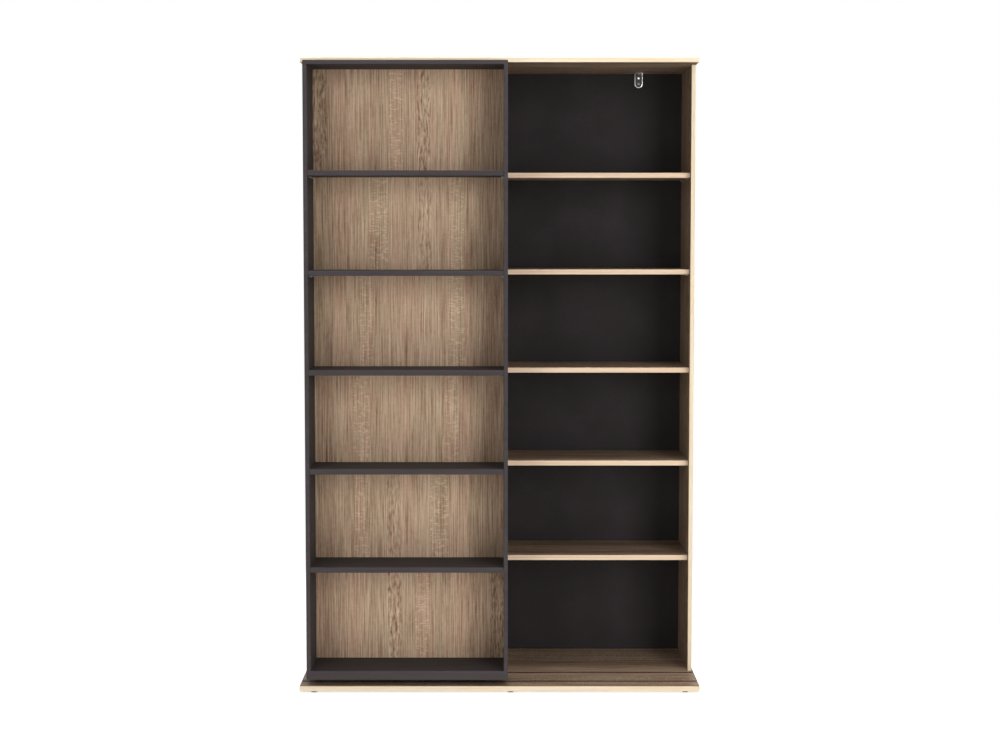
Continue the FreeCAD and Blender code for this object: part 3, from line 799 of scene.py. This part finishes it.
left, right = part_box("carcass_back_left"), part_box("carcass_back_right")
carcass_columns = (left[0].x + BRAD_EDGE, left[1].x - BRAD_SEAM,
                   right[0].x + BRAD_SEAM, right[1].x - BRAD_EDGE)
piece("carcass_brads", brads(*left, carcass_columns), zinc, "carcass", "zinc_steel")
low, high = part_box("unit_back")
unit_columns = (low.x + BRAD_EDGE, high.x - BRAD_EDGE)
piece("unit_brads", brads(low, high, unit_columns), zinc, "front_unit", "zinc_steel")


# %% [markdown]
# ## Cams
#
# The fixed shelves are drawn tight by cams: die-cast drums in the shelf's underside, turned with a
# screwdriver to pull on a bolt from the side. The drum is turned with a groove round its face and a cross
# recess in the middle, and a pocket for the bolt is pushed into its side.

# %% The cams
POCKET_HALF_ANGLE = 42.0     # degrees to each side of the way to the bolt


def cam(radius, depth, bolt_low, bolt_high, towards):
    """A cam with its face on the origin and its body below. towards is the bolt's side, -1 or 1 along X."""
    shape = turned([(0.0, -depth), (radius - 0.0004, -depth), (radius, -depth + 0.0004), (radius, bolt_high),
                    (radius, bolt_low), (radius, -0.0004), (radius - 0.0004, 0.0), (radius - 0.0012, 0.0),
                    (radius - 0.0015, -0.0004), (radius - 0.0021, -0.0004), (radius - 0.0024, 0.0),
                    (radius * 0.5, 0.0)], RECESS_SIDES)
    sink_cross(shape, radius * 0.42, radius * 0.1, 0.0035)
    struck = []
    for face in shape.faces:
        middle = face.calc_center_median()
        beside = bolt_high < middle.z < bolt_low
        if beside and middle.x * towards > radius * math.cos(math.radians(POCKET_HALF_ANGLE)):
            struck.append(face)
    pocket = bmesh.ops.extrude_face_region(shape, geom=struck)["geom"]
    inner = [part for part in pocket if isinstance(part, bmesh.types.BMVert)]
    bmesh.ops.translate(shape, verts=inner, vec=(-towards * radius * 0.95, 0.0, 0.0))
    bmesh.ops.delete(shape, geom=struck, context="FACES")
    bmesh.ops.recalc_face_normals(shape, faces=shape.faces)
    return shape


def cams(node, bolt_node, towards):
    """Cams for a node's solids, face down. towards(x) is the side that a cam's bolt comes from."""
    bolt_low, bolt_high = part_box(bolt_node)
    groups = []
    for low, high in solids(node):
        middle = (low + high) / 2
        side = towards(middle.x)
        # the template is flipped about X, so heights above the face become depths below it
        shape = cam((high.y - low.y) / 2, high.z - low.z, low.z - bolt_low.z, low.z - bolt_high.z, side)
        groups.append(set_out(shape, [Matrix.Translation((middle.x, middle.y, low.z))
                                      @ Matrix.Rotation(math.pi, 4, "X")]))
    return join(*groups)


inner_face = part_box("carcass_side_right")[0].x
unit_middle = (unit_low.x + unit_high.x) / 2
piece("carcass_cams_cast",
      cams("carcass_cams", "carcass_cam_bolts",
           lambda x: math.copysign(1.0 if abs(x) > inner_face / 2 else -1.0, x)),
      casting, "carcass", "zinc_casting", "carcass_cams")
piece("unit_cams_cast",
      cams("unit_cams", "unit_cam_bolts", lambda x: math.copysign(1.0, x - unit_middle)),
      casting, "front_unit", "zinc_casting", "unit_cams")

# %% [markdown]
# ## Wall brackets
#
# A bracket is a steel angle, pressed so that a rim stands up round a tray. The rim is bright with a
# painted highlight, and the tray is dull with painted shade. Its foot is screwed up into the top board,
# and its leg hangs behind it against the black back, with a hole for the wall screw. The leg starts as
# half a circle whose ends are drawn up. A row of insets gives the eased rim and the tray, a cut levels
# the top, and only then does the sheet get its thickness.

# %% The finish of the brackets, with a painted highlight and painted shade
RIM = 0.003                  # metres: the width of the bright rim
SHEET = 0.002                # the thickness of the steel
PROUD = 0.0015               # how far the rim stands up round the tray
PRESS = 0.0006               # the width of the slope between them
EASE = 0.0002                # one step of the eased corners
FOOT_CORNER = 0.005
HOLE_DROP, HOLE_RADIUS = 0.014, 0.00325

bracket_boxes = solids("wall_brackets")
low, high = bracket_boxes[0]
steel_with_painted_light, tree, shader = new_finish("pressed_steel_painted_highlight")
spot = here(tree)
axes = add(tree, "ShaderNodeSeparateXYZ", {0: spot})
fine = noise(tree, spot, 700.0, 4.0)
# a painted highlight on the rim and painted shade in the tray, chosen by how far back a face lies
rim_painted_highlight = ramp(tree, fine, ((0.35, "#f2f0ee"), (0.65, "#fcfbfa")))
tray_painted_shade = ramp(tree, fine, ((0.35, "#524c48"), (0.65, "#625c58")))
tray = high.y - SHEET
painted_shade_share = spread(tree, axes[1], span=(tray - PROUD + 0.0003, tray - 0.0002))
set_inputs(tree, shader, {"Base Color": blend(tree, painted_shade_share, rim_painted_highlight, tray_painted_shade),
                          "Roughness": spread(tree, painted_shade_share, (0.24, 0.5)), "Metallic": 1.0})
print("wall brackets:", len(bracket_boxes))


# %% The brackets
def bracket(width, drop, reach, hole_below, hole_radius):
    """A bracket with its back on Y = 0 and its foot's upper face on Z = 0."""
    leg = bmesh.new()
    bmesh.ops.create_circle(leg, segments=32, radius=width / 2)
    bmesh.ops.bisect_plane(leg, geom=leg.verts[:] + leg.edges[:], plane_co=(0.0, 0.0, 0.0),
                           plane_no=(0.0, 1.0, 0.0), clear_outer=True)
    bmesh.ops.remove_doubles(leg, verts=leg.verts, dist=1e-5)
    ends = sorted(leg.verts, key=lambda corner: corner.co.y)[-2:]
    raised = bmesh.ops.extrude_vert_indiv(leg, verts=ends)["verts"]
    # the outline stands higher than the leg by two rims, so that the cut leaves an open tray
    bmesh.ops.translate(leg, verts=raised, vec=(0.0, drop - width / 2 + 2 * RIM, 0.0))
    leg.edges.new(raised)
    sheet = bmesh.ops.contextual_create(leg, geom=leg.edges[:])["faces"][0]
    sheet.normal_update()
    if sheet.normal.z < 0:
        sheet.normal_flip()
    bmesh.ops.translate(leg, verts=leg.verts, vec=(0.0, width / 2 - drop, SHEET + PROUD - 3 * EASE))
    for inward, upward in ((EASE, 2 * EASE), (2 * EASE, EASE), (RIM - PRESS - 4 * EASE, 0.0),
                           (EASE, -EASE), (PRESS, EASE - PROUD)):
        bmesh.ops.inset_region(leg, faces=[sheet], thickness=inward, depth=upward, use_boundary=True,
                               use_even_offset=True)
    tray_edges = sheet.edges[:]
    bmesh.ops.delete(leg, geom=[sheet], context="FACES_ONLY")
    hole = bmesh.ops.create_circle(leg, segments=20, radius=hole_radius,
                                   matrix=Matrix.Translation((0.0, -hole_below, SHEET)))["verts"]
    hole_edges = list({edge for corner in hole for edge in corner.link_edges})
    bmesh.ops.triangle_fill(leg, use_beauty=True, edges=tray_edges + hole_edges)
    bmesh.ops.bisect_plane(leg, geom=leg.verts[:] + leg.edges[:] + leg.faces[:],
                           plane_co=(0.0, -SHEET / 2, 0.0), plane_no=(0.0, 1.0, 0.0), clear_outer=True)
    back = bmesh.ops.extrude_face_region(leg, geom=leg.faces[:])["geom"]
    back = [part for part in back if isinstance(part, bmesh.types.BMVert)]
    bmesh.ops.scale(leg, verts=back, vec=(1.0, 1.0, 0.0))
    bmesh.ops.recalc_face_normals(leg, faces=leg.faces)
    bmesh.ops.rotate(leg, verts=leg.verts, matrix=Matrix.Rotation(math.pi / 2, 3, "X"))

    foot = bmesh.new()
    bmesh.ops.create_cube(foot, size=1.0)
    bmesh.ops.scale(foot, verts=foot.verts, vec=(width, reach, SHEET))
    bmesh.ops.translate(foot, verts=foot.verts, vec=(0.0, -reach / 2, -SHEET / 2))
    corners = [edge for edge in foot.edges if all(corner.co.y < -reach / 2 for corner in edge.verts)
               and abs(edge.verts[0].co.z - edge.verts[1].co.z) > SHEET / 2]
    bmesh.ops.bevel(foot, geom=corners, offset=FOOT_CORNER, segments=6, profile=0.5, affect="EDGES",
                    material=-1)
    return join(leg, foot)


size = high - low
pressed = bracket(size.x, size.z, size.y, HOLE_DROP, HOLE_RADIUS)
open_edges = sum(edge.is_boundary for edge in pressed.edges)
places = [Matrix.Translation(((low.x + high.x) / 2, high.y, high.z)) for low, high in bracket_boxes]
piece("wall_brackets_pressed", set_out(pressed, places), steel_with_painted_light, "carcass", "bright_steel",
      "wall_brackets")
print("open edges on a bracket:", open_edges)


def bracket_screw_way(size, middle):
    """The screws through a foot look down, and the short one through the leg looks forward."""
    return (0.0, 0.0, -1.0) if size.z > size.x + 0.001 else (0.0, -1.0, 0.0)


piece("bracket_screws_turned", drive_in("bracket_screws", 0.003, 0.007, 0.002, True, bracket_screw_way),
      zinc, "carcass", "zinc_steel", "bracket_screws")

# %% [markdown]
# ## The studio
#
# The light is soft and comes from the front, so that the bays fall off evenly towards their corners. A
# narrow softbox overhead picks out the base where it reaches out in front: the overhanging top covers
# more and more of it towards the back, so the base darkens gently that way. A pale floor takes the
# shadow. To the camera, and in gloss, the room is plain white.

# %% Lamps, world and floor
WHITE = (1.0, 1.0, 1.0, 1.0)
ROOM_LIGHT = 0.03            # how strongly the room itself lights the object
FLOOR_SHOWN, FLOOR_LIT = 0.78, 0.12    # the floor's own glow to the camera, and as the object's light
FADE_START, FADE_END = 0.9, 1.9        # metres from the middle, where the floor turns white


def softbox(name, place, target, width, height, power):
    """A soft rectangular lamp that looks at a target. Sizes are in metres, and the power in watts."""
    lamp = bpy.data.lights.new(name, "AREA")
    lamp.shape = "RECTANGLE"
    lamp.size, lamp.size_y, lamp.energy = width, height, power
    box = bpy.data.objects.new(name, lamp)
    box.location = place
    box.rotation_euler = (Vector(target) - Vector(place)).to_track_quat("-Z", "Y").to_euler()
    box.visible_camera = False
    bpy.context.scene.collection.objects.link(box)


softbox("softbox_left", (-2.6, -4.2, 1.9), (0.0, 0.0, 0.9), 2.0, 3.6, 47.0)
softbox("softbox_right", (2.6, -4.2, 1.9), (0.0, 0.0, 0.9), 2.0, 3.6, 110.0)
softbox("softbox_over_front", (0.0, -0.9, 3.4), (0.0, -0.6, 0.0), 3.0, 1.0, 13.0)
softbox("softbox_over_base", (0.0, -0.185, 3.2), (0.0, -0.185, 0.0), 2.4, 0.29, 77.0)
softbox("softbox_behind", (0.0, 4.2, 1.9), (0.0, 0.0, 0.9), 4.0, 3.6, 90.0)

world = bpy.data.worlds.new("studio")
bpy.context.scene.world = world
world.use_nodes = True
sky = world.node_tree
sky.nodes.clear()
rays = add(sky, "ShaderNodeLightPath")
seen = calc(sky, "MAXIMUM", rays["Is Camera Ray"], rays["Is Glossy Ray"])
seen = calc(sky, "MAXIMUM", seen, rays["Is Transmission Ray"])
glow = add(sky, "ShaderNodeBackground", {0: WHITE, 1: spread(sky, seen, (ROOM_LIGHT, 1.0))})
add(sky, "ShaderNodeOutputWorld", {0: glow[0]})

sheet = bmesh.new()
bmesh.ops.create_grid(sheet, x_segments=1, y_segments=1, size=30.0)
floor_mesh = bpy.data.meshes.new("floor")
sheet.to_mesh(floor_mesh)
sheet.free()
floor = bpy.data.objects.new("floor", floor_mesh)
bpy.context.scene.collection.objects.link(floor)
paper = bpy.data.materials.new("pale_floor")
paper.use_nodes = True
tree = paper.node_tree
tree.nodes.clear()
rays = add(tree, "ShaderNodeLightPath")
far = add(tree, "ShaderNodeVectorMath", {0: here(tree)}, operation="LENGTH")
fade = add(tree, "ShaderNodeMapRange", {0: far["Value"], 1: FADE_START, 2: FADE_END},
           interpolation_type="SMOOTHSTEP")
white = add(tree, "ShaderNodeEmission", {0: WHITE, 1: 1.0})
matt = add(tree, "ShaderNodeBsdfDiffuse", {0: shade("#e4e2de")})
lift = add(tree, "ShaderNodeEmission", {0: WHITE, 1: FLOOR_SHOWN})
near = add(tree, "ShaderNodeAddShader", {0: matt[0], 1: lift[0]})
shown = add(tree, "ShaderNodeMixShader", {0: fade[0], 1: near[0], 2: white[0]})
glow = add(tree, "ShaderNodeEmission", {0: WHITE, 1: FLOOR_LIT})
lit = add(tree, "ShaderNodeAddShader", {0: matt[0], 1: glow[0]})
whole = add(tree, "ShaderNodeMixShader", {0: rays["Is Camera Ray"], 1: lit[0], 2: shown[0]})
add(tree, "ShaderNodeOutputMaterial", {0: whole[0]})
floor_mesh.materials.append(paper)

bpy.context.scene.view_settings.view_transform = "Standard"
print("lamps:", len(bpy.data.lights))
